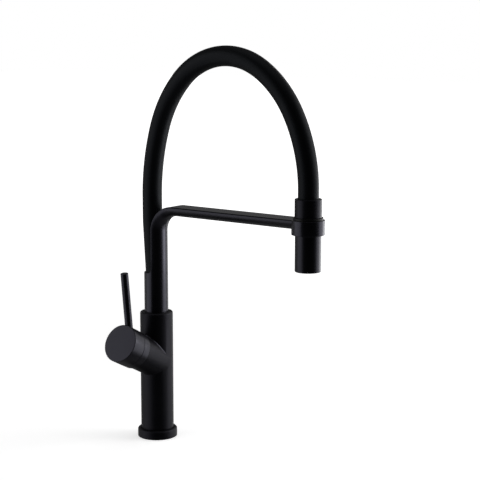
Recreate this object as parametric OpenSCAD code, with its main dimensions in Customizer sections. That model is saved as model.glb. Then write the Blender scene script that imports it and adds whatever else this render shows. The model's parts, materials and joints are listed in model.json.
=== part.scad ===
// Single-lever kitchen mixer with a pull-out spray head on an arched hose.
// Origin: centre of the underside, on the worktop. +Z is up, the arm runs along +X, the handle faces -Y.

/* [Foot] */
// How far the trim flange stands out beyond the column
flange_rim = 4.5; // [4.4:0.1:9]
// Height of the trim flange
flange_h = 11.5; // [8:0.5:14]
// Rounding of the flange's upper edge
flange_round = 2.5; // [1:0.25:3]
// Thickness of the ledge that the body stands on
ledge_h = 2; // [1.5:0.25:3]
// Height of the rubber ring's section
gasket_h = 1.45; // [1:0.05:1.8]
// Width of the rubber ring's section
gasket_w = 2.1; // [1.5:0.1:2.5]
// Height of the threaded plug in the body's foot
plug_h = 20; // [18:1:26]
// Tapping diameter of the stud hole (M8)
stud_hole_d = 6.8; // [5:0.1:8.5]
// Depth of the stud hole
stud_hole_depth = 16; // [10:1:17]
// Tapping diameter of the supply inlets (M8 x 1)
inlet_d = 7; // [6.2:0.1:7.6]
// Depth of the supply inlets' threads
inlet_depth = 10; // [8:1:14]

/* [Body] */
// Outer diameter of the column
body_d = 43.2; // [42:0.2:46]
// Height of the column's top above the worktop
body_top = 169.5; // [164:0.5:190]
// Bevel at the column's top edge
body_bevel = 2.2; // [0.5:0.1:2.8]
// Wall of the hollow lower column
body_wall = 3.6; // [3:0.1:3.9]
// Height of the hollow lower column's ceiling
chamber_top = 70; // [66:1:74]
// Height of the joint between the lower column tube and the body
joint_z = 58; // [50:1:62]
// Depth of the tube's socket for the body's lip
joint_lap = 8; // [5:0.5:12]

/* [Valve housing] */
// Height at which the housing's axis meets the column's axis
branch_z = 101.7; // [100:0.1:106]
// Rise of the housing's axis above the horizontal, in degrees
branch_rise = 27.5; // [25:0.5:30]
// How far the housing's side stands out beyond the column's side
branch_step = 1.15; // [1:0.05:1.3]
// Distance from the column's axis to the cartridge seat
seat_t = 16; // [15:0.5:18]
// Diameter of the cartridge
cart_d = 34.8; // [34:0.1:35.4]
// Height of the cartridge up to its shoulder
cart_h = 26.8; // [26:0.2:30]
// Height of the cartridge's neck above the shoulder
neck_h = 6; // [5.5:0.25:8]
// Diameter of the supply ports
port_d = 6; // [4.5:0.25:6.4]
// Sideways offset of each supply port
port_x = 7.5; // [7:0.1:7.8]
// Offset of the supply ports from the cartridge's axis, towards its upper side
port_w = 8; // [7.5:0.1:8.4]
// Diameter of the outlet passage
outlet_d = 7; // [5:0.25:7.4]
// Distance of the rising outlet passage behind the column's axis
outlet_y = 8; // [7:0.25:9]

/* [Handle] */
// Diameter of the cap's front part
cap_d = 49.4; // [49.2:0.1:52]
// Length of the cap's front part
cap_len = 22; // [21.5:0.25:24]
// Length of the skirt behind it
skirt_len = 10; // [8.5:0.25:10.5]
// How far the skirt lies inside the cap's front part
skirt_step = 0.2; // [0.1:0.05:0.3]
// Gap between the skirt and the housing, all round
skirt_gap = 0.75; // [0.7:0.05:0.85]
// Overlap of the skirt and the housing's end
skirt_overlap = 1; // [0.5:0.1:1.2]
// Rounding of the face's edge
cap_bevel = 0.8; // [0.3:0.1:0.9]
// Diameter of the lever
lever_d = 10; // [7:0.25:10]
// Distance from the cap's axis to the lever's tip, along the lever
lever_len = 101; // [80:1:130]
// Angle between the lever and the cap's axis, in degrees
lever_angle = 56.5; // [56:0.5:66]
// Distance behind the face at which the lever's axis meets the cap's axis
lever_back = 23.25; // [23:0.25:24]
// Depth of the lever's seat, along the lever
lever_seat = 10; // [7:0.5:11]
// Width of the square stem
stem_w = 7; // [6:0.1:7.2]
// Length of the pivot-to-disc arm of the stem
stem_arm = 10; // [9:0.25:10.5]
// Largest tilt of the handle, in degrees
tilt_max = 20; // [15:1:20]

/* [Spout] */
// Outer diameter of the tube and width of the arm
tube_d = 31.2; // [31:0.2:33]
// Wall of the tube
tube_wall = 1.7; // [1.5:0.1:1.8]
// Distance from the column's axis to the spray head's axis
reach = 240; // [210:5:280]
// Height of the arm's flat top
arm_top = 312; // [300:2:360]
// Height of the shoulder behind which the tube is cut away
shoulder_z = 222; // [216:1:228]
// Distance of the cut face ahead of the tube's axis
cut_x = 2.6; // [2:0.1:3.4]
// Radius of the hollow corner between shoulder and cut face
cove_r = 5; // [3:0.25:6]
// Radius on the inside of the arm's bend
bend_inner_r = 22; // [16:1:26]
// Bevel along both edges of the cut face
cut_bevel = 1.6; // [0.4:0.1:2.4]
// Depth to which the spout plugs into the column
spigot_depth = 29; // [27:0.5:31]
// Diameter of the spigot
spigot_d = 26; // [24:0.5:26.5]
// Depth of the recess round the tube at the column's top
recess_depth = 6; // [4:0.5:7]
// Diameter of the inner water tube
riser_d = 11.9; // [10:0.1:12.4]
// Wall of the inner water tube
riser_wall = 1.45; // [1:0.05:2]

/* [Holder ring] */
// Outer diameter of the ring
ring_d = 40.8; // [40.6:0.1:44]
// Height of the ring
ring_h = 18; // [16:0.5:22]
// Bevel of the ring's edges
ring_bevel = 0.6; // [0.2:0.1:1]
// Wall of the plastic liner
liner_wall = 1.6; // [1.2:0.1:1.8]
// Height of the liner's lip
lip_h = 3; // [2:0.25:4]
// How far the lip stands out beyond the liner
lip_w = 0.4; // [0.2:0.1:1]

/* [Hose] */
// Outer diameter of the rubber sleeve
hose_d = 25.5; // [24:0.25:25.5]
// Wall of the rubber sleeve
sleeve_wall = 4.2; // [3:0.1:4.4]
// Outer diameter of the pressure hose
inner_d = 15.6; // [13:0.2:15.8]
// Bore of the pressure hose
inner_bore = 8; // [6:0.2:9]
// Place of the hose's foot ahead of the column's axis
hose_foot_x = -0.8; // [-0.85:0.05:-0.4]
// Place of the hose's rear leg ahead of the column's axis
hose_x = -5.2; // [-6:0.1:-4.6]
// Slant of the hose between its foot and its rear leg, in degrees
lean_angle = 3.6; // [3.2:0.1:4]
// Radius of the two slight bends that begin and end the slant
lean_r = 150; // [100:5:200]
// Straight run of the hose above the collar
hose_lead = 9; // [4:0.5:20]
// Radius of the rear leg's first bend
rear_r1 = 300; // [260:5:320]
// Radius of the rear leg's second bend
rear_r2 = 155; // [140:5:170]
// Angle at which the rear leg's second bend begins, in degrees
rear_a1 = 18; // [15:0.5:20]
// Angle at which the rear leg's last bend begins, in degrees
rear_a2 = 45; // [42:0.5:48]
// Radius of the front leg's first bend
front_r1 = 196; // [180:2:215]
// Radius of the front leg's second bend
front_r2 = 138; // [125:1:150]
// Angle at which the front leg's second bend begins, in degrees
front_a1 = 28; // [25:0.5:30]
// Angle at which the front leg's last bend begins, in degrees
front_a2 = 57.5; // [54:0.5:60]

/* [Spray head] */
// Diameter of the spray head
head_d = 32; // [31:0.1:32.4]
// Wall of the spray head's sleeve
head_wall = 2; // [1.5:0.1:2.4]
// Length of the spray head below the arm's top
head_drop = 63; // [58:1:80]
// Diameter of the hose collar
collar_d = 33.2; // [33.1:0.1:36]
// Height of the hose collar
collar_h = 22.5; // [18:0.5:30]
// Bevel at the collar's and the head's edges
head_bevel = 0.8; // [0.3:0.1:1.2]
// Diameter of the swivel stem inside the head
swivel_d = 12; // [11:0.1:12.6]
// Number of jets in the aerator's outer circle
jets = 12; // [8:1:16]
// Diameter of each jet
jet_d = 1.8; // [1:0.1:2]

/* [Hidden] */
$fn = 96;
// Clearance of pieces that fit or turn in each other
fit = 0.05;
// Clearance of loose pieces
loose = 0.3;
// Overrun of a cutting shape past the face that it cuts
over = 1;

// Foot
body_r = body_d / 2;
flange_r = body_r + flange_rim;
chamber_r = body_r - body_wall;
joint_r = body_r - body_wall / 2;
plug_r = chamber_r - fit;
ledge_bore_r = chamber_r + 0.6;
gasket_r = body_r + 0.42 * flange_rim;
tube_stop_z = inlet_depth + 0.5;
tube_rise = 30;
tube_skin = 1;

// Valve housing, in distances t along its axis
branch_r = body_r + branch_step;
cart_r = cart_d / 2;
cart_bore_r = cart_r + loose;
seal_h = 1.2;
shell_t = seat_t + seal_h;
floor_h = 3.8;
disc_t = shell_t + floor_h;
disc_h = 4;
shoulder_t = seat_t + cart_h + seal_h;
neck_top_t = shoulder_t + neck_h;
shell_bore_r = cart_r - 2.4;
neck_r = cart_r - 3.2;
guide_bore_r = neck_r - 1.7;
guide_flange_h = 2;
pivot_t = neck_top_t - 4;
guide_t = pivot_t - 8;
housing_end_t = pivot_t + 5;
nut_h = housing_end_t + 0.5 - shoulder_t;
skirt_t = housing_end_t - skirt_overlap;
cap_t = skirt_t + skirt_len;
face_t = cap_t + cap_len;
port_y = -seat_t * cos(branch_rise) + port_w * sin(branch_rise);
port_top_z = branch_z + (seat_t + (port_y + port_d / 2) * cos(branch_rise)) / sin(branch_rise) + 0.4;
outlet_w = -6;
outlet_back_t = -(outlet_y - outlet_w * sin(branch_rise)) / cos(branch_rise);
outlet_low_z = branch_z + outlet_back_t * sin(branch_rise) + outlet_w * cos(branch_rise);

// Handle
cap_r = cap_d / 2;
skirt_bore_r = branch_r + skirt_gap;
lever_t = face_t - lever_back;
lever_start = cap_r / sin(lever_angle) - lever_seat;
lever_bevel = 0.5;
stem_end_t = cap_t + 10;
pin_r = 1.5;
ball_r = 3;
handle_screw_r = 2.4;
handle_screw_t = cap_t + 5;

// Spout
tube_r = tube_d / 2;
tube_bore_r = tube_r - tube_wall;
socket_floor_z = body_top - recess_depth - spigot_depth + 3;
recess_z = body_top - recess_depth;
washer_h = 0.8;
tube_z = recess_z + washer_h + fit;
spigot_r = spigot_d / 2;
spigot_z = socket_floor_z + 3;
spigot_top = tube_z + 11;
seal_r = 1.2;
groove_h = 4.4;
groove_z = recess_z - 5;
screw_r = 2;
riser_r = riser_d / 2;
coupling_top = shoulder_z - 16;
coupling_z = coupling_top - 16;
bend_r = bend_inner_r + tube_r;
bend_z = arm_top - bend_r + cut_x;
arm_depth = tube_r - cut_x;

// Ring, liner, head and collar
ring_r = ring_d / 2;
head_r = head_d / 2;
liner_bore_r = head_r + loose;
liner_r = liner_bore_r + liner_wall;
ring_z = arm_top - ring_h;
lip_top = arm_top + lip_h;
collar_r = collar_d / 2;
collar_z = lip_top + fit;
collar_top = collar_z + collar_h;
collar_floor = 5;
head_z = arm_top - head_drop;
head_top = lip_top - 0.4;
shell_inner_r = head_r - head_wall;
core_r = shell_inner_r - fit;
head_roof = 1.4;
nut_top = head_top - head_roof - fit;
core_nut_h = 10;
core_top = nut_top - core_nut_h - fit;
swivel_r = swivel_d / 2;
swivel_flange_h = 4;
swivel_socket_h = 15;
swivel_foot_z = core_top - swivel_socket_h;
valve_seat_h = 18;
core_z = swivel_foot_z - valve_seat_h;
valve_r = 4;
aerator_h = 14;
aerator_plate = 3.6;

// Hose
hose_r = hose_d / 2;
sleeve_bore_r = hose_r - sleeve_wall;
nipple_r = inner_bore / 2 - fit;
nipple_h = 16;
hose_low = coupling_top + loose;
lean_z = shoulder_z - 7;
lean_run = (hose_foot_x - hose_x - 2 * lean_r * (1 - cos(lean_angle))) / sin(lean_angle);
lean_top = lean_z + 2 * lean_r * sin(lean_angle) + lean_run * cos(lean_angle);
hose_end_z = collar_z + collar_floor + loose;
half_span = (reach - hose_x) / 2;
rear_r3 = last_radius(half_span, rear_r1, rear_r2, rear_a1, rear_a2);
front_r3 = last_radius(half_span, front_r1, front_r2, front_a1, front_a2);
front_z = collar_top + hose_lead;
arch_top = front_z + rise(front_r1, front_r2, front_r3, front_a1, front_a2);
rear_z = arch_top - rise(rear_r1, rear_r2, rear_r3, rear_a1, rear_a2);
groove_r = hose_r + 1.1;
// Trim at the ends of the hose's pieces, and how far the moulded line over each joint stands out
trim = 0.05;
line = 0.1;

// Radius that brings the last bend of a leg to the arch's middle
function last_radius(span, r1, r2, a1, a2) =
    (span - r1 * (1 - cos(a1)) - r2 * (cos(a1) - cos(a2))) / cos(a2);

// Height that a leg's three bends climb
function rise(r1, r2, r3, a1, a2) =
    r1 * sin(a1) + r2 * (sin(a2) - sin(a1)) + r3 * (1 - sin(a2));

// Places its children on the housing's axis, a distance t out from the column's axis
module on_branch(t) {
    translate([0, 0, branch_z]) rotate([90 - branch_rise, 0, 0]) translate([0, 0, t]) children();
}

// Places its children on the lever's axis, a distance s out from the cap's axis
module on_lever(s) {
    on_branch(lever_t) rotate([-lever_angle, 0, 0]) translate([0, 0, s]) children();
}

// Cylinder with bevelled ends
module bevelled(r, h, low, high) {
    rotate_extrude()
        polygon([[0, 0], [r - low, 0], [r, low], [r, h - high], [r - high, h], [0, h]]);
}

// Round tube
module pipe(outer, inner, h) {
    difference() {
        cylinder(r = outer, h = h);
        translate([0, 0, -over]) cylinder(r = inner, h = h + 2 * over);
    }
}

// Ring of round section
module o_ring(r, section) {
    rotate_extrude() translate([r - section, 0]) circle(r = section);
}

// Piece of a round rod that bends in the XZ plane, trimmed at both ends
module bend(centre, r, from, to, section) {
    cut = trim / r * 180 / PI;
    translate([centre[0], 0, centre[1]]) rotate([90, 0, 0]) rotate([0, 0, from + cut])
        rotate_extrude(angle = to - from - 2 * cut) translate([r, 0]) circle(r = section);
}

// Straight piece of a rod in the XZ plane, trimmed at the ends that the flags name
module rod(foot, tilt, h, section, low, high) {
    translate([foot[0], 0, foot[1]]) rotate([0, -tilt, 0]) translate([0, 0, low * trim])
        cylinder(r = section, h = h - (low + high) * trim);
}

// Moulded line that joins two pieces of a rod
module band(at, tilt, section) {
    translate([at[0], 0, at[1]]) rotate([0, -tilt, 0])
        cylinder(r = section + line, h = 24 * trim, center = true);
}

// One leg of the arch: side is 1 for the rear leg and -1 for the front leg
module half_arch(foot, side, r, a, section) {
    c1 = foot + [side * r[0], 0];
    c2 = c1 + (r[0] - r[1]) * [-side * cos(a[0]), sin(a[0])];
    c3 = c2 + (r[1] - r[2]) * [-side * cos(a[1]), sin(a[1])];
    centres = [c1, c2, c3];
    turns = [0, a[0], a[1], 90];
    for (i = [0:2]) {
        low = side > 0 ? 180 - turns[i + 1] : turns[i];
        high = side > 0 ? 180 - turns[i] : turns[i + 1];
        bend(centres[i], r[i], low, high, section);
        band(centres[i] + r[i] * [-side * cos(turns[i]), sin(turns[i])], -side * turns[i], section);
    }
}

// Rod along the hose's whole run, longer by ext at both ends
module hose_rod(section, ext) {
    slant_low = [hose_foot_x - lean_r * (1 - cos(lean_angle)), lean_z + lean_r * sin(lean_angle)];
    slant_high = slant_low + lean_run * [-sin(lean_angle), cos(lean_angle)];
    rod([hose_foot_x, hose_low - ext], 0, lean_z - hose_low + ext, section, 0, 1);
    band([hose_foot_x, lean_z], 0, section);
    bend([hose_foot_x - lean_r, lean_z], lean_r, 0, lean_angle, section);
    band(slant_low, lean_angle, section);
    rod(slant_low, lean_angle, lean_run, section, 1, 1);
    band(slant_high, lean_angle, section);
    bend([hose_x + lean_r, lean_top], lean_r, 180, 180 + lean_angle, section);
    band([hose_x, lean_top], 0, section);
    rod([hose_x, lean_top], 0, rear_z - lean_top, section, 1, 1);
    half_arch([hose_x, rear_z], 1, [rear_r1, rear_r2, rear_r3], [rear_a1, rear_a2], section);
    band([(hose_x + reach) / 2, arch_top], 90, section);
    half_arch([reach, front_z], -1, [front_r1, front_r2, front_r3], [front_a1, front_a2], section);
    rod([reach, hose_end_z - ext], 0, front_z - hose_end_z + ext, section, 0, 1);
}

// Hose of the given radii, from the coupling in the tube to the collar on the spray head
module hose_run(outer, inner) {
    difference() {
        hose_rod(outer, 0);
        hose_rod(inner, over);
    }
}

module base_flange() {
    color("#17171a") difference() {
        union() {
            cylinder(r = flange_r, h = flange_h - flange_round);
            cylinder(r = flange_r - flange_round, h = flange_h);
            translate([0, 0, flange_h - flange_round]) o_ring(flange_r, flange_round);
        }
        translate([0, 0, -over]) cylinder(r = ledge_bore_r, h = flange_h);
        translate([0, 0, ledge_h]) cylinder(r = body_r + fit, h = flange_h);
        translate([0, 0, -over]) pipe(gasket_r + gasket_w / 2 + fit, gasket_r - gasket_w / 2 - fit,
            over + gasket_h + fit);
    }
}

module base_gasket() {
    color("#2b2b2b") pipe(gasket_r + gasket_w / 2, gasket_r - gasket_w / 2, gasket_h);
}

module mounting_plug() {
    color("#b08d4a") difference() {
        cylinder(r = plug_r, h = plug_h);
        translate([0, 0, -over]) cylinder(d = stud_hole_d, h = over + stud_hole_depth);
        for (side = [-1, 1]) translate([side * port_x, port_y, 0]) {
            translate([0, 0, -over]) cylinder(d = inlet_d, h = over + inlet_depth);
            cylinder(d = port_d, h = plug_h + over);
        }
    }
}

// Copper tube from the plug to one of the valve's ports
module inlet_tube(side) {
    color("#b87333") translate([side * port_x, port_y, tube_stop_z])
        pipe(port_d / 2 - fit, port_d / 2 - tube_skin, chamber_top + tube_rise - tube_stop_z);
}

module column_tube() {
    color("#17171a") difference() {
        translate([0, 0, ledge_h + fit]) cylinder(r = body_r, h = joint_z - ledge_h - fit);
        cylinder(r = chamber_r, h = joint_z + over);
        translate([0, 0, joint_z - joint_lap]) cylinder(r = joint_r, h = joint_lap + over);
    }
}

module body() {
    color("#17171a") difference() {
        union() {
            translate([0, 0, joint_z + fit]) bevelled(body_r, body_top - joint_z - fit, 0, body_bevel);
            translate([0, 0, joint_z + fit - joint_lap]) cylinder(r = joint_r - fit, h = joint_lap + over);
            on_branch(-1) bevelled(branch_r, housing_end_t + 1, branch_step + 0.1, 0);
        }
        cylinder(r = chamber_r, h = chamber_top);
        on_branch(seat_t) cylinder(r = cart_bore_r, h = housing_end_t);
        for (side = [-1, 1]) translate([side * port_x, port_y, chamber_top - over])
            cylinder(d = port_d, h = port_top_z - chamber_top + over);
        on_branch(outlet_back_t) translate([0, outlet_w, 0])
            cylinder(d = outlet_d, h = seat_t - outlet_back_t + over);
        translate([0, outlet_y, outlet_low_z - outlet_d])
            cylinder(d = outlet_d + 1, h = socket_floor_z - outlet_low_z + outlet_d + over);
        translate([0, 0, socket_floor_z]) cylinder(r = spigot_r + fit, h = body_top);
        translate([0, 0, recess_z]) cylinder(r = tube_r + 0.2, h = recess_depth + over);
        translate([0, 0, groove_z]) rotate([-90, 0, 0]) cylinder(r = screw_r + fit, h = body_r + over);
    }
}

module swivel_screw() {
    tip = spigot_r - 1.2;
    tail = body_r - 1;
    color("#6d6f72") translate([0, 0, groove_z]) rotate([-90, 0, 0]) difference() {
        translate([0, 0, tip]) cylinder(r = screw_r, h = tail - tip);
        translate([0, 0, tail - 2]) cylinder(r = screw_r / 2, h = 2 + over, $fn = 6);
    }
}

module slip_washer() {
    color("#e8e6df") translate([0, 0, recess_z]) pipe(tube_r - 0.2, spigot_r + 0.1, washer_h);
}

module cartridge_seal() {
    color("#2b2b2b") on_branch(seat_t) difference() {
        cylinder(r = cart_r - 0.5, h = seal_h - fit);
        ports(-over, seal_h + over, 0);
    }
}

// Supply ports and outlet of the cartridge, as cutting shapes
module ports(from, h, narrow) {
    for (side = [-1, 1]) translate([side * port_x, port_w, from])
        cylinder(r = port_d / 2 - narrow, h = h + over);
    translate([0, outlet_w, from]) cylinder(r = outlet_d / 2 - narrow, h = h + over);
}

module cartridge_shell() {
    color("#d8d6cc") on_branch(0) difference() {
        union() {
            translate([0, 0, shell_t]) cylinder(r = cart_r, h = shoulder_t - shell_t);
            translate([0, 0, shell_t]) cylinder(r = neck_r, h = neck_top_t - shell_t);
        }
        translate([0, 0, disc_t]) cylinder(r = shell_bore_r, h = guide_t + guide_flange_h - disc_t);
        translate([0, 0, disc_t]) cylinder(r = guide_bore_r, h = neck_top_t - disc_t + over);
        ports(shell_t - over, floor_h + over, 0.5);
    }
}

module fixed_disc() {
    color("#f2f0ea") on_branch(disc_t) difference() {
        cylinder(r = shell_bore_r - fit, h = disc_h);
        ports(-over, disc_h + over, 0.5);
    }
}

// Sliding disc with its carrier and the socket for the stem's ball
module moving_disc() {
    disc_r = shell_bore_r - 4.1;
    low_t = disc_t + disc_h + fit;
    color("#e2dccb") on_branch(0) difference() {
        union() {
            translate([0, 0, low_t]) cylinder(r = disc_r, h = disc_h);
            translate([0, 0, low_t]) cylinder(r = disc_r - 2, h = guide_t - 0.5 - low_t);
        }
        translate([0, -2, low_t - over]) cylinder(r = disc_r - 3, h = 2 + over);
        translate([0, 0, pivot_t - stem_arm - ball_r - 0.2]) cylinder(r = ball_r + 0.25, h = cart_h);
    }
}

// Drum that turns in the cartridge and carries the stem's pivot
module stem_guide() {
    slot_w = 2 * (stem_arm * sin(tilt_max) + ball_r + loose);
    color("#c9c5b8") on_branch(0) difference() {
        union() {
            translate([0, 0, guide_t]) cylinder(r = guide_bore_r - fit, h = neck_top_t - guide_t);
            translate([0, 0, guide_t]) cylinder(r = shell_bore_r - fit, h = guide_flange_h - fit);
        }
        translate([-stem_w / 2 - 0.2, -slot_w / 2, guide_t - over])
            cube([stem_w + 0.4, slot_w, neck_top_t - guide_t + 2 * over]);
        translate([-guide_bore_r - over, 0, pivot_t]) rotate([0, 90, 0])
            cylinder(r = pin_r + fit, h = 2 * guide_bore_r + 2 * over);
    }
}

module pivot_pin() {
    pin_half = guide_bore_r - 1;
    color("#b9bcc0") on_branch(pivot_t) rotate([0, 90, 0]) translate([0, 0, -pin_half])
        cylinder(r = pin_r, h = 2 * pin_half);
}

// Square stem, round below the pivot and with a ball at its lower end
module stem() {
    square_t = pivot_t - 4;
    color("#b9bcc0") on_branch(0) difference() {
        union() {
            translate([-stem_w / 2, -stem_w / 2, square_t])
                cube([stem_w, stem_w, stem_end_t - 0.2 - square_t]);
            translate([0, 0, pivot_t - stem_arm]) cylinder(r = 2.2, h = stem_arm - 3);
            translate([0, 0, pivot_t - stem_arm]) sphere(r = ball_r);
        }
        translate([-stem_w, 0, pivot_t]) rotate([0, 90, 0]) cylinder(r = pin_r + fit, h = 2 * stem_w);
    }
}

module cartridge_nut() {
    color("#b08d4a") on_branch(shoulder_t + fit) difference() {
        cylinder(r = cart_bore_r - fit, h = nut_h);
        translate([0, 0, -over]) cylinder(r = neck_r + fit, h = nut_h + 2 * over);
    }
}

module handle_cap() {
    color("#17171a") difference() {
        on_branch(0) difference() {
            union() {
                translate([0, 0, cap_t]) bevelled(cap_r, cap_len, 0, cap_bevel);
                translate([0, 0, skirt_t]) cylinder(r = cap_r - skirt_step, h = skirt_len + over);
            }
            translate([0, 0, skirt_t - over]) cylinder(r = skirt_bore_r, h = skirt_len + over);
            translate([-stem_w / 2 - fit, -stem_w / 2 - fit, cap_t - over])
                cube([stem_w + 2 * fit, stem_w + 2 * fit, stem_end_t - cap_t + over]);
            translate([0, 0, handle_screw_t]) rotate([90, 0, 0])
                cylinder(r = handle_screw_r + fit, h = cap_d);
        }
        on_lever(lever_start) cylinder(r = lever_d / 2 + fit, h = lever_seat * 2);
    }
}

module lever_pin() {
    color("#17171a") on_lever(lever_start + fit)
        bevelled(lever_d / 2, lever_len - lever_start - fit, 0, lever_bevel);
}

module handle_screw() {
    from = stem_w / 2 + fit;
    screw_len = 12;
    color("#6d6f72") on_branch(handle_screw_t) rotate([90, 0, 0]) difference() {
        translate([0, 0, from]) cylinder(r = handle_screw_r, h = screw_len);
        translate([0, 0, from + screw_len - 3]) cylinder(r = handle_screw_r / 2, h = 3 + over, $fn = 6);
    }
}

// Heights of the two seal grooves on the spigot
function seal_z(i) = spigot_z + 4 + 6 * i;

module spout_spigot() {
    color("#b08d4a") difference() {
        union() {
            translate([0, 0, spigot_z]) cylinder(r = spigot_r, h = spigot_top - spigot_z);
            translate([0, 0, tube_z]) cylinder(r = tube_bore_r - fit, h = spigot_top - tube_z);
        }
        translate([0, 0, spigot_z - over]) cylinder(r = riser_r + fit, h = spigot_top - spigot_z + 2 * over);
        for (i = [0, 1]) translate([0, 0, seal_z(i) - seal_r - fit])
            pipe(spigot_r + over, spigot_r - 2 * seal_r - fit, 2 * (seal_r + fit));
        translate([0, 0, groove_z - groove_h / 2]) pipe(spigot_r + over, spigot_r - 1.5, groove_h);
    }
}

module spigot_seals() {
    color("#2b2b2b") for (i = [0, 1]) translate([0, 0, seal_z(i)]) o_ring(spigot_r, seal_r);
}

// D-shaped section of the post and the arm, with the cut face towards -X and its edges bevelled
module d_section(bevel) {
    flat = sqrt(tube_r * tube_r - cut_x * cut_x) - bevel;
    intersection() {
        circle(r = tube_r);
        polygon([[cut_x, flat], [cut_x + bevel, flat + bevel], [cut_x + bevel, tube_d], [tube_d, tube_d],
            [tube_d, -tube_d], [cut_x + bevel, -tube_d], [cut_x + bevel, -flat - bevel], [cut_x, -flat]]);
    }
}

// Post, bend and straight arm
module arm_bar() {
    cove_top = shoulder_z + cove_r;
    translate([0, 0, shoulder_z]) linear_extrude(cove_r) intersection() {
        circle(r = tube_r);
        translate([cut_x, -tube_d]) square([tube_d, 2 * tube_d]);
    }
    translate([0, 0, cove_top]) linear_extrude(bend_z - cove_top) d_section(cut_bevel);
    translate([bend_r, 0, bend_z]) rotate([90, 0, 0]) rotate([0, 0, 90])
        rotate_extrude(angle = 90) translate([bend_r, 0]) mirror([1, 0]) d_section(cut_bevel);
    translate([bend_r, 0, bend_z + bend_r]) rotate([0, 90, 0])
        linear_extrude(reach - ring_r + 2 - bend_r) d_section(cut_bevel);
}

// Hollow corner that runs from the shoulder up into the cut face
module cove() {
    intersection() {
        translate([0, 0, shoulder_z]) cylinder(r = tube_r, h = cove_r);
        difference() {
            translate([cut_x - cove_r, -tube_d, shoulder_z]) cube([cove_r + fit, 2 * tube_d, cove_r]);
            translate([cut_x - cove_r, 0, shoulder_z + cove_r]) rotate([90, 0, 0])
                cylinder(r = cove_r, h = 4 * tube_d, center = true);
        }
    }
}

// Room for the hose: the tube's bore, then a groove along the hose's slant and its rear leg
module hose_room() {
    translate([0, 0, tube_z - over]) cylinder(r = tube_bore_r, h = shoulder_z + cove_r + 2 - tube_z + over);
    translate([hose_foot_x, 0, lean_z]) rotate([0, -atan((hose_foot_x - hose_x) / (lean_top - lean_z)), 0])
        cylinder(r = groove_r, h = lean_top - lean_z);
    translate([hose_x, 0, lean_top - 2]) cylinder(r = groove_r, h = arm_top);
}

module spout_arm() {
    color("#17171a") difference() {
        union() {
            translate([0, 0, tube_z]) cylinder(r = tube_r, h = shoulder_z - tube_z);
            cove();
            arm_bar();
            translate([reach, 0, ring_z]) bevelled(ring_r, ring_h, ring_bevel, ring_bevel);
        }
        hose_room();
        translate([reach, 0, ring_z - over]) cylinder(r = liner_r + fit, h = ring_h + 2 * over);
    }
}

module riser_tube() {
    color("#b87333") translate([0, 0, tube_z]) pipe(riser_r, riser_r - riser_wall, coupling_z + 8 - tube_z);
}

module hose_coupling() {
    nipple_bore = nipple_r - 1.1;
    color("#b08d4a") difference() {
        union() {
            translate([0, 0, coupling_z]) cylinder(r = tube_bore_r - fit, h = coupling_top - coupling_z);
            translate([hose_foot_x, 0, coupling_top - over])
                cylinder(r = nipple_r, h = lean_z - coupling_top + over);
        }
        translate([0, 0, coupling_z - over]) cylinder(r = riser_r + fit, h = 10 + over);
        translate([hose_foot_x, 0, coupling_z]) cylinder(r = nipple_bore, h = lean_z - coupling_z + over);
    }
}

module holder_liner() {
    color("#1d1d20") translate([reach, 0, 0]) difference() {
        union() {
            translate([0, 0, ring_z + 0.3]) cylinder(r = liner_r, h = lip_top - ring_z - 0.3);
            translate([0, 0, arm_top + fit]) bevelled(liner_r + lip_w, lip_h - fit, 0.4, 0.4);
        }
        translate([0, 0, ring_z - over]) cylinder(r = liner_bore_r, h = lip_top - ring_z + 2 * over);
    }
}

module hose_sleeve() {
    color("#101011") hose_run(hose_r, sleeve_bore_r);
}

module inner_hose() {
    color("#3a3a3d") hose_run(inner_d / 2, inner_bore / 2);
}

module hose_collar() {
    color("#17171a") translate([reach, 0, collar_z]) difference() {
        bevelled(collar_r, collar_h, 0.3, head_bevel);
        translate([0, 0, -over]) cylinder(r = swivel_r + fit, h = collar_floor + 2 * over);
        translate([0, 0, collar_floor]) cylinder(r = hose_r + loose, h = collar_h);
    }
}

module hose_fitting() {
    floor_top = collar_z + collar_floor;
    nipple_bore = nipple_r - 1.1;
    color("#b08d4a") translate([reach, 0, 0]) difference() {
        union() {
            translate([0, 0, swivel_foot_z]) cylinder(r = swivel_r, h = floor_top - swivel_foot_z);
            translate([0, 0, core_top - swivel_flange_h]) cylinder(r = swivel_r + 3, h = swivel_flange_h);
            translate([0, 0, floor_top - over]) cylinder(r = nipple_r, h = nipple_h + over);
        }
        translate([0, 0, swivel_foot_z - over])
            cylinder(r = nipple_bore, h = floor_top + nipple_h - swivel_foot_z + 2 * over);
        translate([0, 0, fitting_seal_z() - 0.95]) pipe(swivel_r + over, swivel_r - 1.85, 1.9);
    }
}

// Height of the O-ring on the swivel stem
function fitting_seal_z() = swivel_foot_z + 4;

module fitting_seal() {
    color("#2b2b2b") translate([reach, 0, fitting_seal_z()]) o_ring(swivel_r, 0.9);
}

module head_shell() {
    color("#17171a") translate([reach, 0, 0]) difference() {
        translate([0, 0, head_z]) bevelled(head_r, head_top - head_z, head_bevel, 0.3);
        translate([0, 0, head_z - over])
            cylinder(r = shell_inner_r, h = head_top - head_roof - head_z + over);
        translate([0, 0, head_z]) cylinder(r = swivel_r + loose, h = head_top - head_z + over);
    }
}

module head_core() {
    color("#d8d6cc") translate([reach, 0, 0]) difference() {
        translate([0, 0, core_z]) cylinder(r = core_r, h = core_top - core_z);
        translate([0, 0, core_z - over]) cylinder(r = valve_r, h = swivel_foot_z - core_z + over);
        translate([0, 0, swivel_foot_z - 2]) cylinder(r = swivel_r + fit, h = core_top - swivel_foot_z + 4);
        translate([0, 0, core_top - swivel_flange_h - fit])
            cylinder(r = swivel_r + 3 + fit, h = swivel_flange_h + 4);
    }
}

module core_nut() {
    color("#b08d4a") translate([reach, 0, core_top + fit]) pipe(core_r, swivel_r + fit, core_nut_h);
}

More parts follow.
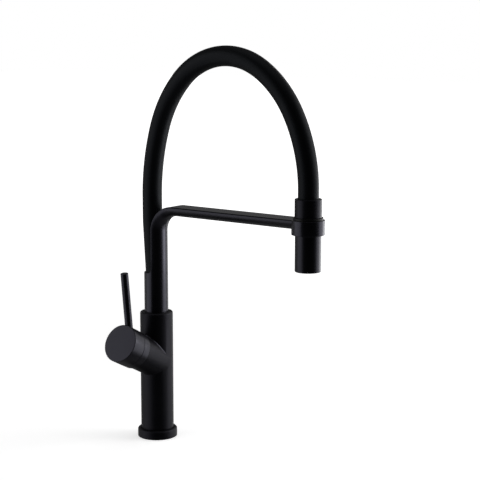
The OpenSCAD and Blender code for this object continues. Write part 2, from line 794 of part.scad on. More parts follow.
module check_valve() {
    color("#e8e6df") translate([reach, 0, core_z + 3]) difference() {
        cylinder(r = valve_r - fit, h = 11);
        translate([0, 0, -over]) cylinder(r = valve_r - 2, h = 11 + 2 * over);
    }
}

module aerator() {
    circles = [[0, 1], [4.4, 6], [8.8, jets]];
    color("#26262a") translate([reach, 0, head_z + 0.4]) difference() {
        cylinder(r = shell_inner_r - fit, h = aerator_h);
        translate([0, 0, aerator_plate]) cylinder(r = shell_inner_r - 2, h = aerator_h);
        for (c = circles, i = [1:c[1]]) rotate([0, 0, 360 * i / c[1]]) translate([c[0], 0, -over])
            cylinder(d = jet_d, h = aerator_plate + 2 * over, $fn = 24);
    }
}

base_flange();
base_gasket();
mounting_plug();
inlet_tube(-1);  // inlet_tube_hot
inlet_tube(1);  // inlet_tube_cold
column_tube();
body();
swivel_screw();
slip_washer();
cartridge_seal();
cartridge_shell();
fixed_disc();
moving_disc();
stem_guide();
pivot_pin();
stem();
cartridge_nut();
handle_cap();
lever_pin();
handle_screw();
spout_spigot();
spigot_seals();
spout_arm();
riser_tube();
hose_coupling();
holder_liner();
hose_sleeve();
inner_hose();
hose_collar();
hose_fitting();
fitting_seal();
head_shell();
head_core();
core_nut();
check_valve();
aerator();
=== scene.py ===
import json
import math

import bmesh
import bpy
from mathutils import Matrix, Vector


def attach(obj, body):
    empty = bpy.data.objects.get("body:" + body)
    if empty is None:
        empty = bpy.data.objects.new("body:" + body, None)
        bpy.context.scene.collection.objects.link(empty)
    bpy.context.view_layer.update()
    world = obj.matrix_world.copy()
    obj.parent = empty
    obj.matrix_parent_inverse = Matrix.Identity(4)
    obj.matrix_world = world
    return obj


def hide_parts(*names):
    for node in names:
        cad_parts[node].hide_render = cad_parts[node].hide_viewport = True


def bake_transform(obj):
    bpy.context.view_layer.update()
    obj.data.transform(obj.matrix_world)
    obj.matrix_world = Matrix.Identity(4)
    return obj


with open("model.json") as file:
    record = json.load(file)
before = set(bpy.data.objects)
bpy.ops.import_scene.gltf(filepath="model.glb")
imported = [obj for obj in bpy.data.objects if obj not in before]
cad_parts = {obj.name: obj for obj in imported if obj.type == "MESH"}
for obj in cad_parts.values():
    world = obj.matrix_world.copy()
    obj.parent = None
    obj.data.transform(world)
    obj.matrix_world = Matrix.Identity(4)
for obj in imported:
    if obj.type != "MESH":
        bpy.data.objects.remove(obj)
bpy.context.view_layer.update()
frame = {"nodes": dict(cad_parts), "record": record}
nodes = frame["nodes"]

# ---------------------------------------------------------------- sizes, in millimetres
# Blender's unit is the metre
MM = 0.001

# Foot
FLANGE_R, FLANGE_H = 26.1, 11.5
LEDGE_BORE_R, LEDGE_TOP = 18.6, 2.0
GROOVE_IN_R, GROOVE_OUT_R, GROOVE_TOP = 22.39, 24.59, 1.5

# Column
BODY_R, BODY_FOOT, BODY_TOP = 21.6, 2.05, 169.5
SEAT_R = BODY_R + 0.06
CHAMBER_R, CHAMBER_TOP = 18.0, 70
RECESS_R, RECESS_Z = 15.85, 163.5
SOCKET_R, SOCKET_Z = 13.05, 137.5
SWIVEL_SCREW_R, SWIVEL_SCREW_Z = 2.05, 158.5

# Valve housing and handle, in distances along the housing's axis
BRANCH_R, BRANCH_Z, RISE = 22.75, 101.7, math.radians(27.5)
BRANCH_INSET, FILLET_R = 1.25, 1.3
VALVE_R, VALVE_SEAT, HOUSING_END = 17.7, 16, 51.0
CAP_R, SKIRT_R, SKIRT_BORE = 24.7, 24.5, 23.5
SKIRT_LOW, CAP_FLOOR, SEAM_T, FACE_T = 50.0, 60.05, 61.3, 82.0
SEAM_DEPTH, SEAM_SLOPE, SEAM_WIDTH = 0.55, 0.15, 0.8
CAP_SCREW_R, CAP_SCREW_T = 2.45, 65
LEVER_ANGLE, LEVER_T, LEVER_R = math.radians(56.5), 58.75, 5.0
LEVER_FOOT, LEVER_TOP, LEVER_GAP = 17.0, 101.0, 0.14

# Spout and holder ring
TUBE_R, BORE_R, BORE_TOP = 15.6, 13.9, 229
TUBE_Z, TUBE_BEVEL, SHOULDER = 164.35, 0.3, 222.0
SHOULDER_EDGE, COVE_START = 0.3, 0.02
CUT, COVE, EDGE, EDGE_SOFT = 2.6, 5.0, 1.6, 0.2
BEND_R, BEND_Z, ARM_TOP, ARM_END = 37.6, 277.0, 312.0, 236
REACH, RING_R, RING_BORE_R, RING_Z = 240.0, 20.4, 17.95, 294.0
LINER_IN_R, LINER_OUT_R, LINER_LOW = 16.3, 17.9, 294.3
LIP_R, LIP_LOW, LIP_TOP = 18.3, 312.05, 315.0

# Hose and its collar; each leg has two radii and the two angles at which the next bend begins
HOSE_R, HOSE_IN, PRESS_R, PRESS_IN = 12.75, 8.55, 7.8, 4.0
HOSE_GAP = 1.1
HOSE_LOW, LEAN_Z, FOOT_X, HOSE_X = 206.3, 215.0, -0.8, -5.2
LEAN, LEAN_R = math.radians(3.6), 150.0
LEAN_RUN = (FOOT_X - HOSE_X - 2 * LEAN_R * (1 - math.cos(LEAN))) / math.sin(LEAN)
LEAN_TOP = LEAN_Z + 2 * LEAN_R * math.sin(LEAN) + LEAN_RUN * math.cos(LEAN)
REAR_LEG = (300.0, 155.0, math.radians(18), math.radians(45))
FRONT_LEG = (196.0, 138.0, math.radians(28), math.radians(57.5))
HOSE_END, FRONT_Z = 320.35, 346.55
COLLAR_R, COLLAR_BORE_R, COLLAR_HOLE_R = 16.6, 13.05, 6.05
COLLAR_LOW, COLLAR_FLOOR, COLLAR_TOP = 315.05, 320.05, 337.55

# Spray head; each circle of jets has a radius and a count
HEAD_R, HEAD_IN_R, HEAD_HOLE_R = 16.0, 14.0, 6.3
HEAD_LOW, HEAD_ROOF, HEAD_TOP = 249.0, 313.2, 314.6
JET_CIRCLES = ((0, 1), (4.4, 6), (8.8, 12))
NUB_OUTLINE = [
    (0.55, 250.6, 0), (1.45, 250.6, 0), (1.3, 249.4, 0), (1.05, 249.03, 0.15), (0.55, 249.03, 0.1)]

# How finely the spout is divided: its outline, its bends and its straight runs
ARC_STEPS, FLAT_STEPS, COVE_STEPS, BEND_STEPS = 72, 24, 10, 48
TUBE_ROW, POST_ROWS, ARM_ROWS = 190, (240, 260), (90, 160)
# Points along each bevel of the D outline, with its ends softened
BEVEL_POINTS = (0.9, 0.78, 0.5, 0.22, 0.1)

# Angles in degrees above which an edge stays hard: the usual one, and that of cut pieces
SHARP, SHARP_CUT = 32, 30


# ---------------------------------------------------------------- mesh helpers
def rounded(corners, steps=6, loop=False):
    """Outline through (r, z, rounding) corners, with an arc at each corner that has a rounding."""
    out, n = [], len(corners)
    for i, (x, y, rad) in enumerate(corners):
        if rad <= 0 or (not loop and i in (0, n - 1)):
            out.append((x, y))
            continue
        p = Vector((x, y))
        u = (Vector(corners[i - 1][:2]) - p).normalized()
        v = (Vector(corners[(i + 1) % n][:2]) - p).normalized()
        half = u.angle(v) / 2
        mid = p + (u + v).normalized() * (rad / math.sin(half))
        a = p + u * (rad / math.tan(half)) - mid
        b = p + v * (rad / math.tan(half)) - mid
        start, turn = math.atan2(a.y, a.x), a.angle_signed(b)
        for k in range(steps + 1):
            t = start - turn * k / steps
            out.append((mid.x + rad * math.cos(t), mid.y + rad * math.sin(t)))
    return out


def new_object(name, data):
    obj = bpy.data.objects.new(name, data)
    bpy.context.scene.collection.objects.link(obj)
    return obj


def shade(mesh, sharp):
    """Smooth shading, with edges sharper than an angle in degrees left hard."""
    mesh.shade_smooth()
    mesh.set_sharp_from_angle(angle=math.radians(sharp))


def finish_mesh(name, bm, sharp=SHARP):
    bmesh.ops.remove_doubles(bm, verts=bm.verts, dist=1e-7)
    bmesh.ops.recalc_face_normals(bm, faces=bm.faces)
    mesh = bpy.data.meshes.new(name)
    bm.to_mesh(mesh)
    bm.free()
    shade(mesh, sharp)
    return new_object(name, mesh)


def skin(bm, rings, closed):
    """Quads between rings of equal count; a ring of one vertex is a pole."""
    pairs = list(zip(rings, rings[1:])) + ([(rings[-1], rings[0])] if closed else [])
    for a, b in pairs:
        n = max(len(a), len(b))
        for i in range(n):
            j = (i + 1) % n
            quad = [a[i % len(a)], a[j % len(a)], b[j % len(b)], b[i % len(b)]]
            quad = [v for k, v in enumerate(quad) if v not in quad[:k]]
            if len(quad) > 2:
                bm.faces.new(quad)


def lathe(name, outline, place=None, segments=160, loop=False):
    """Turned piece from an outline of (r, z) in mm, about the local Z axis of place."""
    place = place or Matrix.Identity(4)
    bm = bmesh.new()
    rings = []
    for r, z in outline:
        if r < 1e-6:
            rings.append([bm.verts.new(place @ Vector((0, 0, z)) * MM)])
            continue
        rings.append([
            bm.verts.new(place @ Vector((r * math.cos(a), r * math.sin(a), z)) * MM)
            for a in (2 * math.pi * k / segments for k in range(segments))])
    skin(bm, rings, loop)
    return finish_mesh(name, bm)


def boolean(obj, cutter, how):
    """Joins the cutter to the object or cuts it out, and removes the cutter."""
    mod = obj.modifiers.new("cut", "BOOLEAN")
    mod.operation, mod.solver, mod.object = how, "EXACT", cutter
    bpy.context.view_layer.update()
    done = obj.evaluated_get(bpy.context.evaluated_depsgraph_get())
    mesh = bpy.data.meshes.new_from_object(done)
    obj.modifiers.clear()
    old, obj.data = obj.data, mesh
    mesh.name = obj.name
    bpy.data.meshes.remove(old)
    bpy.data.objects.remove(cutter)
    bm = bmesh.new()
    bm.from_mesh(mesh)
    bmesh.ops.remove_doubles(bm, verts=bm.verts, dist=2e-6)
    bmesh.ops.dissolve_degenerate(bm, edges=bm.edges, dist=1e-6)
    bm.to_mesh(mesh)
    bm.free()
    shade(mesh, SHARP_CUT)


def rod(r, low, high, place=None, segments=160):
    """Cylinder for a boolean to cut out; an open end runs past the face that it goes through."""
    return lathe("cutter", [(0, low), (r, low), (r, high), (0, high)], place, segments)


def at(x, y, z):
    return Matrix.Translation((x, y, z))


def join(name, parts):
    """One object from several, each a closed shell."""
    bm = bmesh.new()
    for part in parts:
        bm.from_mesh(part.data)
        bpy.data.objects.remove(part)
    mesh = bpy.data.meshes.new(name)
    bm.to_mesh(mesh)
    bm.free()
    shade(mesh, SHARP)
    return new_object(name, mesh)


QUARTER = math.pi / 2
BRANCH = at(0, 0, BRANCH_Z) @ Matrix.Rotation(QUARTER - RISE, 4, "X")
LEVER = BRANCH @ at(0, 0, LEVER_T) @ Matrix.Rotation(-LEVER_ANGLE, 4, "X")
HEAD = at(REACH, 0, 0)
OUT = Vector((0, -math.cos(RISE), math.sin(RISE)))
UP = Vector((0, math.sin(RISE), math.cos(RISE)))


# ---------------------------------------------------------------- shader helpers
def feed(tree, node, inputs):
    """Sets a node's inputs, by name or number; a value that is an output is linked."""
    for socket, value in inputs.items():
        if isinstance(value, bpy.types.NodeSocket):
            tree.links.new(value, node.inputs[socket])
        else:
            node.inputs[socket].default_value = value
    return node


def add_node(tree, kind, inputs=None, **settings):
    node = tree.nodes.new("ShaderNode" + kind)
    for name, value in settings.items():
        setattr(node, name, value)
    return feed(tree, node, inputs or {})


def blend_colours(tree, factor, first, second):
    """Output that goes from the first colour to the second as the factor rises."""
    return add_node(tree, "Mix", {0: factor, 6: (*first, 1), 7: (*second, 1)},
                    data_type="RGBA").outputs[2]


# ---------------------------------------------------------------- materials
MOTTLE_SCALE, GRAIN_DEPTH, ROUGH_VARY = 60.0, 0.00005, 0.08


def surface(name, base, rough, grain, bump, metallic=0.0, vary=0.25, tint=(1, 1, 1), specular=0.5):
    """Principled surface with mottled colour and roughness, and a fine grain in its bump."""
    mat = bpy.data.materials.new(name)
    mat.use_nodes = True
    tree = mat.node_tree
    coords = add_node(tree, "TexCoord").outputs["Object"]

    def noise(scale, detail):
        return add_node(tree, "TexNoise", {
            "Scale": scale, "Detail": detail, "Vector": coords}).outputs["Fac"]

    mottle, fine = noise(MOTTLE_SCALE, 5), noise(grain, 3)
    dark, pale = [c * (1 - vary) for c in base], [c * (1 + vary) for c in base]
    half = add_node(tree, "Math", {0: mottle, 1: 0.5}, operation="MULTIPLY")
    both = add_node(tree, "Math", {0: fine, 1: 0.5, 2: half.outputs[0]}, operation="MULTIPLY_ADD")
    spread = add_node(tree, "MapRange", {
        "Value": both.outputs[0], "To Min": rough - ROUGH_VARY, "To Max": rough + ROUGH_VARY})
    relief = add_node(tree, "Bump", {"Strength": bump, "Distance": GRAIN_DEPTH, "Height": fine})
    feed(tree, tree.nodes["Principled BSDF"], {
        "Metallic": metallic, "Specular IOR Level": specular, "Specular Tint": (*tint, 1),
        "Base Color": blend_colours(tree, mottle, dark, pale),
        "Roughness": spread.outputs[0], "Normal": relief.outputs[0]})
    return mat


# Each has its name, colour, roughness, the scale of its grain and the strength of its bump
VIOLET = (0.79, 0.78, 1.0)
COLD = (0.8, 0.87, 1.0)
MATTE = surface("powder_black", (0.0038, 0.0038, 0.0045), 0.44, 1900, 0.30,
                tint=VIOLET, specular=0.2)
COLLAR = surface("collar_black", (0.0025, 0.0025, 0.003), 0.36, 1900, 0.25,
                 tint=VIOLET, specular=0.25)
# Glossier copy of the body's black, used only on the housing's upper fillet: a painted highlight
# line
FILLET_PAINTED_HIGHLIGHT = surface("fillet_painted_highlight", (0.0018, 0.0018, 0.0022), 0.3, 2100, 0.15,
                    tint=VIOLET, specular=0.75)
SMOOTH = surface("cap_black", (0.0018, 0.0018, 0.0022), 0.36, 2100, 0.22,
                 tint=VIOLET, specular=0.44)
SATIN = surface("satin_black", (0.0026, 0.0026, 0.003), 0.28, 2300, 0.12, tint=VIOLET)
SLEEVE = surface("head_black", (0.002, 0.002, 0.0023), 0.32, 2300, 0.12,
                 tint=VIOLET, specular=0.37)
RUBBER = surface("hose_rubber", (0.0034, 0.0037, 0.0044), 0.47, 1500, 0.35,
                 tint=COLD, specular=0.13)
MATERIALS = {
    "matte_black": MATTE,
    "hose_rubber": RUBBER,
    "pressure_hose": surface("pressure_hose", (0.02, 0.02, 0.021), 0.5, 1800, 0.4),
    "seal_rubber": surface("seal_rubber", (0.012, 0.012, 0.012), 0.55, 1600, 0.3),
    "black_plastic": surface("liner_plastic", (0.006, 0.006, 0.007), 0.42, 1400, 0.2, specular=0.2),
    "white_plastic": surface("white_plastic", (0.58, 0.57, 0.52), 0.4, 900, 0.2, vary=0.06),
    "ceramic": surface("ceramic", (0.72, 0.7, 0.66), 0.18, 1200, 0.05, vary=0.04),
    "brass": surface("brass", (0.62, 0.43, 0.17), 0.28, 2600, 0.2, metallic=1.0, vary=0.12),
    "copper": surface("copper", (0.72, 0.36, 0.19), 0.25, 2600, 0.2, metallic=1.0, vary=0.12),
    "steel": surface("steel", (0.42, 0.42, 0.43), 0.3, 2600, 0.2, metallic=1.0, vary=0.1),
}
for part in frame["record"]["subparts"]:
    for slot in nodes[part["node"]].material_slots:
        slot.material = MATERIALS[part["material_slot"]]


def place_piece(obj, material, body, slot, *replaced):
    obj.data.materials.clear()
    obj.data.materials.append(material)
    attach(obj, body)
    if replaced:
        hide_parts(*replaced)


# ---------------------------------------------------------------- foot
flange = lathe("foot_flange", rounded([
    (LEDGE_BORE_R, 0, 0), (GROOVE_IN_R, 0, 0), (GROOVE_IN_R, GROOVE_TOP, 0),
    (GROOVE_OUT_R, GROOVE_TOP, 0), (GROOVE_OUT_R, 0, 0), (FLANGE_R, 0, 0.4),
    (FLANGE_R, FLANGE_H, 2.4), (SEAT_R, FLANGE_H, 0.35), (SEAT_R, LEDGE_TOP, 0),
    (LEDGE_BORE_R, LEDGE_TOP, 0)], 8, True), loop=True, segments=200)
place_piece(flange, MATTE, "base", "matte_black", "base_flange")


# ---------------------------------------------------------------- column and valve housing
def junction(low, high, r=FILLET_R, steps=6, count=110, buried=1.02):
    """Rounded inner corner between column and housing, over an arc of the housing in degrees."""
    bm = bmesh.new()
    rings = []
    for k in range(count + 1):
        a = math.radians(low + (high - low) * k / count)
        side = Vector((1, 0, 0)) * math.cos(a) + UP * math.sin(a)
        spoke = side * (BRANCH_R + r)
        run = math.sqrt((BODY_R + r) ** 2 - spoke.x ** 2)
        t = (run + spoke.y) / math.cos(RISE)
        ball = OUT * t + spoke
        to_branch = -side
        to_body = Vector((-ball.x, -ball.y, 0)).normalized()
        turn = to_branch.angle(to_body)
        arc = [(to_branch * math.sin(turn * (1 - s / steps)) + to_body * math.sin(turn * s / steps))
               / math.sin(turn) for s in range(steps + 1)]
        ring = [ball + v * r for v in arc]
        ring.append(ball + (arc[0] + arc[-1]).normalized() * r / math.cos(turn / 2) * buried)
        rings.append([bm.verts.new((p + Vector((0, 0, BRANCH_Z))) * MM) for p in ring])
    skin(bm, rings, False)
    bm.faces.new(rings[0])
    bm.faces.new(rings[-1])
    return finish_mesh("junction", bm, sharp=60)


column = lathe("column", rounded([
    (0, CHAMBER_TOP, 0), (CHAMBER_R, CHAMBER_TOP, 0), (CHAMBER_R, BODY_FOOT, 0),
    (BODY_R, BODY_FOOT, 0.2), (BODY_R, BODY_TOP, 2.4), (RECESS_R, BODY_TOP, 0.35),
    (RECESS_R, RECESS_Z, 0), (SOCKET_R, RECESS_Z, 0), (SOCKET_R, SOCKET_Z, 0),
    (0, SOCKET_Z, 0)], 8), segments=192)
housing = lathe("housing", [
    (0, -1), (BRANCH_R - BRANCH_INSET, -1), (BRANCH_R, 0.25), (BRANCH_R, HOUSING_END),
    (0, HOUSING_END)], BRANCH, segments=192)
screw_axis = at(0, 0, SWIVEL_SCREW_Z) @ Matrix.Rotation(-QUARTER, 4, "X")
boolean(column, housing, "UNION")
boolean(column, rod(VALVE_R, VALVE_SEAT, 80, BRANCH, segments=128), "DIFFERENCE")
boolean(column, rod(SWIVEL_SCREW_R, 5, 30, screw_axis, segments=48), "DIFFERENCE")
column = join("column_body", [column, junction(204, 336)])
place_piece(column, MATTE, "base", "matte_black", "body", "column_tube")

# Only the housing's upper corner catches the light: this arc of the fillet gets a glossier black of
# its own, a painted highlight line
fillet = junction(24, 156)
fillet.name = "housing_fillet"
place_piece(fillet, FILLET_PAINTED_HIGHLIGHT, "base", "matte_black")

# ---------------------------------------------------------------- handle
cap = lathe("handle_grip", rounded([
    (0, CAP_FLOOR, 0), (SKIRT_BORE, CAP_FLOOR, 0), (SKIRT_BORE, SKIRT_LOW, 0),
    (SKIRT_R, SKIRT_LOW, 0.5), (SKIRT_R, SEAM_T, 0.25),
    (SKIRT_R - SEAM_DEPTH, SEAM_T + SEAM_SLOPE, 0),
    (SKIRT_R - SEAM_DEPTH, SEAM_T + SEAM_WIDTH - SEAM_SLOPE, 0),
    (CAP_R, SEAM_T + SEAM_WIDTH, 0.25), (CAP_R, FACE_T, 0.9), (0, FACE_T, 0)], 8),
    BRANCH, segments=192)
cap_screw_axis = BRANCH @ at(0, 0, CAP_SCREW_T) @ Matrix.Rotation(QUARTER, 4, "X")
boolean(cap, rod(LEVER_R + LEVER_GAP, LEVER_FOOT, 60, LEVER, segments=64), "DIFFERENCE")
boolean(cap, rod(CAP_SCREW_R, 4, 40, cap_screw_axis, segments=40), "DIFFERENCE")
place_piece(cap, SMOOTH, "handle", "matte_black", "handle_cap")

lever = lathe("lever_rod", rounded([
    (0, LEVER_FOOT, 0), (LEVER_R, LEVER_FOOT, 0.3), (LEVER_R, LEVER_TOP, 0.7),
    (0, LEVER_TOP, 0)], 8), LEVER, segments=96)
place_piece(lever, SATIN, "handle", "matte_black", "lever_pin")


# ---------------------------------------------------------------- spout
def bevel(cut):
    """Ends of the bevel between flat and round side: height on the flat, and run at 45 degrees."""
    v = math.sqrt(TUBE_R ** 2 - cut ** 2) - EDGE
    half = (cut + v) / 2
    return v, -half + math.sqrt(half ** 2 + (TUBE_R ** 2 - cut ** 2 - v ** 2) / 2)


def round_part(cut):
    """Half the angle of the D outline's round side, less the softened edge."""
    v, run = bevel(cut)
    return math.atan2(v + run, cut + run) - EDGE_SOFT / TUBE_R


def arc_points(r, angles):
    return [(r * math.cos(a), r * math.sin(a)) for a in angles]


def round_side(r, half):
    """Points of an arc of radius r about +u, from half its angle down to minus half."""
    return arc_points(r, (half * (1 - 2 * k / ARC_STEPS) for k in range(ARC_STEPS + 1)))


def section(cut):
    """D outline as (u, v): round side towards +u, flat at u = cut, with bevelled edges."""
    v, run = bevel(cut)
    corner = [(cut + run * f, v + run * f) for f in BEVEL_POINTS] + [(cut, v - EDGE_SOFT)]
    low = [(a, -b) for a, b in corner]
    high = list(reversed(corner))
    middle = [(cut, (v - EDGE_SOFT) * (2 * k / FLAT_STEPS - 1)) for k in range(1, FLAT_STEPS)]
    return round_side(TUBE_R, round_part(cut)) + low + middle + high


def circle_like(total, r):
    """Full circle with the D outline's vertex count and the same round side."""
    half = round_part(CUT - COVE)
    pts = round_side(r, half)
    rest = total - len(pts)
    back = 2 * math.pi - 2 * half
    return pts + arc_points(r, (-half - back * k / (rest + 1) for k in range(1, rest + 1)))


def spout_bar(shoulder_soft=0.985):
    """Tube, shoulder with its hollow corner, cut-away post, bend and arm as one swept shell."""
    bm = bmesh.new()
    rings = []
    shape = section(CUT)

    def ring(points, where):
        rings.append([bm.verts.new(where(u, v) * MM) for u, v in points])

    for z, r in ((TUBE_Z, TUBE_R - TUBE_BEVEL), (TUBE_Z + TUBE_BEVEL, TUBE_R),
                 (TUBE_ROW, TUBE_R), (SHOULDER - SHOULDER_EDGE, TUBE_R)):
        ring(circle_like(len(shape), r), lambda u, v, z=z: Vector((u, v, z)))
    top = circle_like(len(shape), TUBE_R)
    soft = [(u, v) if k <= ARC_STEPS else (u * shoulder_soft, v * shoulder_soft)
            for k, (u, v) in enumerate(top)]
    ring(soft, lambda u, v: Vector((u, v, SHOULDER)))
    for k in range(COVE_STEPS + 1):
        a = QUARTER * k / COVE_STEPS
        cut = CUT - COVE + COVE * math.sin(a)
        z = SHOULDER + COVE_START + COVE - COVE * math.cos(a)
        ring(section(cut), lambda u, v, z=z: Vector((u, v, z)))
    for z in (*POST_ROWS, BEND_Z):
        ring(shape, lambda u, v, z=z: Vector((u, v, z)))
    for k in range(1, BEND_STEPS + 1):
        a = QUARTER * k / BEND_STEPS
        ring(shape, lambda u, v, a=a: Vector((
            BEND_R - (BEND_R - u) * math.cos(a), v, BEND_Z + (BEND_R - u) * math.sin(a))))
    for x in (*ARM_ROWS, ARM_END):
        ring(shape, lambda u, v, x=x: Vector((x, v, BEND_Z + BEND_R - u)))
    skin(bm, rings, False)
    bm.faces.new(rings[0])
    bm.faces.new(rings[-1])
    return finish_mesh("spout_bar", bm, sharp=30)


spout = spout_bar()
ring_disc = lathe("ring_disc", rounded([
    (0, RING_Z, 0), (RING_R, RING_Z, 0.7), (RING_R, ARM_TOP, 0.35), (0, ARM_TOP, 0)], 6),
    HEAD, segments=192)
tilt = Matrix.Rotation(-math.atan((FOOT_X - HOSE_X) / (LEAN_TOP - LEAN_Z)), 4, "Y")
slant = at(FOOT_X, 0, LEAN_Z) @ tilt
channel_r = HOSE_R + HOSE_GAP
boolean(spout, ring_disc, "UNION")
boolean(spout, rod(RING_BORE_R, 280, 330, HEAD), "DIFFERENCE")
boolean(spout, rod(BORE_R, 150, BORE_TOP, segments=128), "DIFFERENCE")
boolean(spout, rod(channel_r, 0, LEAN_TOP - LEAN_Z, slant, segments=128), "DIFFERENCE")
boolean(spout, rod(channel_r, LEAN_TOP - 4, 340, at(HOSE_X, 0, 0), segments=128), "DIFFERENCE")
spout.name = "spout"
place_piece(spout, SATIN, "spout", "matte_black", "spout_arm")

liner = lathe("ring_liner", rounded([
    (LINER_IN_R, LINER_LOW, 0.2), (LINER_OUT_R, LINER_LOW, 0.2), (LINER_OUT_R, LIP_LOW, 0),
    (LIP_R, LIP_LOW, 0.15), (LIP_R, LIP_TOP, 0.3), (LINER_IN_R, LIP_TOP, 0.3)], 5, True),
    HEAD, loop=True)
place_piece(liner, MATERIALS["black_plastic"], "spout", "black_plastic", "holder_liner")


# ---------------------------------------------------------------- hose
def hose_path(step=2.0, least=0.2):
    """Centreline (x, z) and its direction's angle from +X, along the solid hose's arcs."""
    pts = []

    def line(x, z, tilt, length):
        n = max(2, int(length / step))
        for k in range(n + 1):
            s = length * k / n
            pts.append((x + s * math.cos(tilt), z + s * math.sin(tilt), tilt))
        return pts[-1][:2]

    def arc(x, z, tilt, r, turn):
        n = max(2, int(r * abs(turn) / step))
        side = 1 if turn > 0 else -1
        cx, cz = x - side * r * math.sin(tilt), z + side * r * math.cos(tilt)
        for k in range(1, n + 1):
            a = tilt + turn * k / n
            pts.append((cx + side * r * math.sin(a), cz - side * r * math.cos(a), a))
        return pts[-1][:2]

    def last_radius(r1, r2, a1, a2):
        """Radius that brings a leg's last bend to the arch's middle."""
        span = (REACH - HOSE_X) / 2
        return (span - r1 * (1 - math.cos(a1)) - r2 * (math.cos(a1) - math.cos(a2))) / math.cos(a2)

    def climb(r1, r2, r3, a1, a2):
        """Height that a leg's three bends climb."""
        return r1 * math.sin(a1) + r2 * (math.sin(a2) - math.sin(a1)) + r3 * (1 - math.sin(a2))

    rear1, rear2, rear_a1, rear_a2 = REAR_LEG
    front1, front2, front_a1, front_a2 = FRONT_LEG
    rear3, front3 = last_radius(*REAR_LEG), last_radius(*FRONT_LEG)
    top = FRONT_Z + climb(front1, front2, front3, front_a1, front_a2)
    rear_z = top - climb(rear1, rear2, rear3, rear_a1, rear_a2)
    x, z = line(FOOT_X, HOSE_LOW, QUARTER, LEAN_Z - HOSE_LOW)
    x, z = arc(x, z, QUARTER, LEAN_R, LEAN)
    x, z = line(x, z, QUARTER + LEAN, LEAN_RUN)
    x, z = arc(x, z, QUARTER + LEAN, LEAN_R, -LEAN)
    x, z = line(x, z, QUARTER, rear_z - z)
    x, z = arc(x, z, QUARTER, rear1, -rear_a1)
    x, z = arc(x, z, QUARTER - rear_a1, rear2, rear_a1 - rear_a2)
    x, z = arc(x, z, QUARTER - rear_a2, rear3, rear_a2 - QUARTER)
    x, z = arc(x, z, 0, front3, front_a2 - QUARTER)
    x, z = arc(x, z, front_a2 - QUARTER, front2, front_a1 - front_a2)
    x, z = arc(x, z, front_a1 - QUARTER, front1, -front_a1)
    line(x, z, -QUARTER, z - HOSE_END)
    out = [pts[0]]
    for p in pts[1:]:
        if math.hypot(p[0] - out[-1][0], p[1] - out[-1][1]) > least:
            out.append(p)
    return out


def hose(name, outer, inner, sides):
    bm = bmesh.new()
    path = hose_path()

    def rings(r, way):
        made = []
        for x, z, a in way:
            across = Vector((-math.sin(a), 0, math.cos(a)))
            made.append([bm.verts.new((Vector((x, 0, z)) + across * r * math.cos(t)
                                       + Vector((0, 1, 0)) * r * math.sin(t)) * MM)
                         for t in (2 * math.pi * k / sides for k in range(sides))])
        return made

    skin(bm, rings(outer, path) + rings(inner, path[::-1]), True)
    return finish_mesh(name, bm, sharp=40)


for name, outer, inner, sides, slot, node in (
        ("hose_cover", HOSE_R, HOSE_IN, 72, "hose_rubber", "hose_sleeve"),
        ("hose_core", PRESS_R, PRESS_IN, 32, "pressure_hose", "inner_hose")):
    piece = hose(name, outer, inner, sides)
    piece.data.materials.append(MATERIALS[slot])
    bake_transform(piece)
    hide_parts(node)

collar = lathe("collar_sleeve", rounded([
    (COLLAR_HOLE_R, COLLAR_LOW, 0), (COLLAR_R, COLLAR_LOW, 0.45), (COLLAR_R, COLLAR_TOP, 1.0),
    (COLLAR_BORE_R, COLLAR_TOP, 0.5), (COLLAR_BORE_R, COLLAR_FLOOR, 0),
    (COLLAR_HOLE_R, COLLAR_FLOOR, 0)], 7, True), HEAD, loop=True)
place_piece(collar, COLLAR, "hose_end", "matte_black", "hose_collar")

# ---------------------------------------------------------------- spray head
shell = lathe("head_sleeve", rounded([
    (HEAD_HOLE_R, HEAD_TOP, 0), (HEAD_HOLE_R, HEAD_ROOF, 0), (HEAD_IN_R, HEAD_ROOF, 0),
    (HEAD_IN_R, HEAD_LOW, 0.3), (HEAD_R, HEAD_LOW, 0.8), (HEAD_R, HEAD_TOP, 0.3)], 7, True),
    HEAD, loop=True)
place_piece(shell, SLEEVE, "spray_head", "matte_black", "head_shell")

nubs = []
for radius, count in JET_CIRCLES:
    for k in range(count):
        a = 2 * math.pi * (k + 1) / count
        spot = at(REACH + radius * math.cos(a), radius * math.sin(a), 0)
        nubs.append(lathe("nub", rounded(NUB_OUTLINE, 3, True), spot, segments=24, loop=True))
jets = join("jet_nubs", nubs)
place_piece(jets, MATERIALS["seal_rubber"], "spray_head", "seal_rubber")

# ---------------------------------------------------------------- floor
# The camera sees a white floor whose glow rises away from the middle; all else sees it dark
FLOOR_CORNERS = [(-9, -9, 0), (9, -9, 0), (9, 9, 0), (-9, 9, 0)]
FLOOR_SEEN, FLOOR_LIT = (0.93, 0.93, 0.93), (0.08, 0.08, 0.08)
GLOW_FROM, GLOW_TO, GLOW_NEAR, GLOW_FAR = 0.3, 2.0, 0.6, 1.1

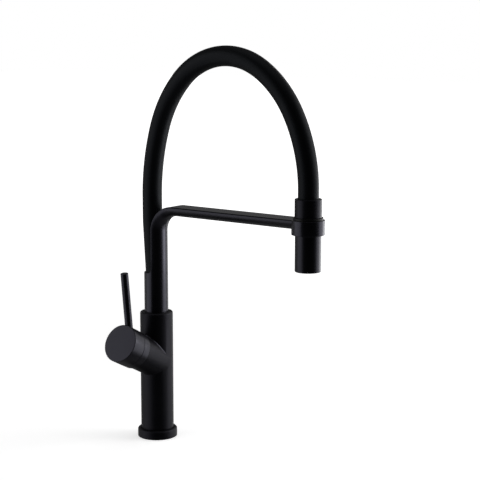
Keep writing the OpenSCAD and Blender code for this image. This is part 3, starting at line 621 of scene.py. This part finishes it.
floor_mesh = bpy.data.meshes.new("floor")
floor_mesh.from_pydata(FLOOR_CORNERS, [], [(0, 1, 2, 3)])
floor = new_object("floor", floor_mesh)
paper = bpy.data.materials.new("paper")
paper.use_nodes = True
tree = paper.node_tree
seen = add_node(tree, "LightPath").outputs["Is Camera Ray"]
place = add_node(tree, "TexCoord").outputs["Object"]
distance = add_node(tree, "VectorMath", {0: place}, operation="LENGTH")
level = add_node(tree, "MapRange", {
    "Value": distance.outputs["Value"], "From Min": GLOW_FROM, "From Max": GLOW_TO,
    "To Min": GLOW_NEAR, "To Max": GLOW_FAR}, interpolation_type="SMOOTHSTEP")
glow = add_node(tree, "Math", {0: seen, 1: level.outputs[0]}, operation="MULTIPLY")
feed(tree, tree.nodes["Principled BSDF"], {
    "Base Color": blend_colours(tree, seen, FLOOR_LIT, FLOOR_SEEN),
    "Roughness": 0.9, "Specular IOR Level": 0.0,
    "Emission Color": (1, 1, 1, 1), "Emission Strength": glow.outputs[0]})
floor_mesh.materials.append(paper)
floor.visible_glossy = False
floor.visible_shadow = False

# ---------------------------------------------------------------- light
# Bearing in degrees of the camera's side of the object, and the middle that the lamps face
CAMERA_SIDE = -49.7
LAMPS_FACE_X = 0.12
AMBIENT = 0.01

scene = bpy.context.scene
world = bpy.data.worlds.new("studio")
scene.world = world
world.use_nodes = True
tree = world.node_tree
tree.nodes.clear()
way = add_node(tree, "TexCoord").outputs["Generated"]


def heading(degrees, up=0.0):
    """Direction at an angle to the left of the camera's side of the object, seen from above."""
    a = math.radians(CAMERA_SIDE - degrees)
    return (math.cos(a) * math.cos(math.radians(up)), math.sin(a) * math.cos(math.radians(up)),
            math.sin(math.radians(up)))


def lobe(direction, near, far, gain):
    """Soft patch of light round a direction, gain at its middle; near and far are cosines."""
    dot = add_node(tree, "VectorMath", {0: way, 1: Vector(direction).normalized()},
                   operation="DOT_PRODUCT")
    return add_node(tree, "MapRange", {
        "Value": dot.outputs["Value"], "From Min": far, "From Max": near,
        "To Min": 0, "To Max": gain}, interpolation_type="SMOOTHSTEP").outputs[0]


def total(*values):
    """Output that is the sum of the values, each an output or a number."""
    result = values[0]
    for value in values[1:]:
        result = add_node(tree, "Math", {0: result, 1: value}, operation="ADD").outputs[0]
    return result


light = total(
    lobe(heading(92, 12), 0.95, 0.76, 0.35), lobe(heading(-95, 15), 0.97, 0.6, 0.5),
    lobe((0, 0, 1), 0.97, 0.78, 0.7), lobe((0, 0, -1), 0.9, 0.25, 0.2),
    lobe(heading(180, 10), 0.95, 0.6, 0.19), AMBIENT)
white = add_node(tree, "Background", {0: (1, 1, 1, 1)})
room = add_node(tree, "Background", {"Strength": light})
seen = add_node(tree, "LightPath").outputs["Is Camera Ray"]
pick = add_node(tree, "MixShader", {0: seen, 1: room.outputs[0], 2: white.outputs[0]})
add_node(tree, "OutputWorld", {0: pick.outputs[0]})


def softbox(name, degrees, distance, z, width, height, level):
    """Upright rectangular lamp that faces the object; level is its brightness, 1 is white."""
    data = bpy.data.lights.new(name, "AREA")
    data.shape, data.size, data.size_y = "RECTANGLE", width, height
    data.energy = level * math.pi * width * height
    lamp = new_object(name, data)
    side = Vector(heading(degrees))
    lamp.location = Vector((LAMPS_FACE_X, 0, z)) + side * distance
    lamp.rotation_mode = "QUATERNION"
    lamp.rotation_quaternion = (-side).to_track_quat("-Z", "Y")
    lamp.visible_camera = False


softbox("left_box", 80, 0.85, 0.25, 0.9, 1.7, 0.82)
softbox("right_box", -95, 0.8, 0.3, 0.7, 1.5, 1.4)
softbox("right_back_box", -145, 0.9, 0.3, 0.4, 1.5, 1.0)
softbox("left_back_box", 132, 0.9, 0.05, 0.5, 1.1, 0.3)
softbox("head_box", -102.8, 0.25, 0.26, 0.16, 0.2, 2.4)

# ---------------------------------------------------------------- camera
SENSOR_MM, FRAME_PX, FOCAL_PX = 36.0, 480, 1372.35
YAW, PITCH = math.radians(126.735), math.radians(-9.253)

camera_data = bpy.data.cameras.new("camera")
camera_data.sensor_width = SENSOR_MM
camera_data.lens = FOCAL_PX * SENSOR_MM / FRAME_PX
camera_data.clip_start, camera_data.clip_end = 0.05, 50
camera = new_object("camera", camera_data)
camera.location = (1.1495, -1.3557, 0.5532)
aim = Vector((math.cos(YAW) * math.cos(PITCH), math.sin(YAW) * math.cos(PITCH), math.sin(PITCH)))
camera.rotation_mode = "QUATERNION"
camera.rotation_quaternion = aim.to_track_quat("-Z", "Y")
scene.camera = camera

scene.view_settings.view_transform = "Standard"
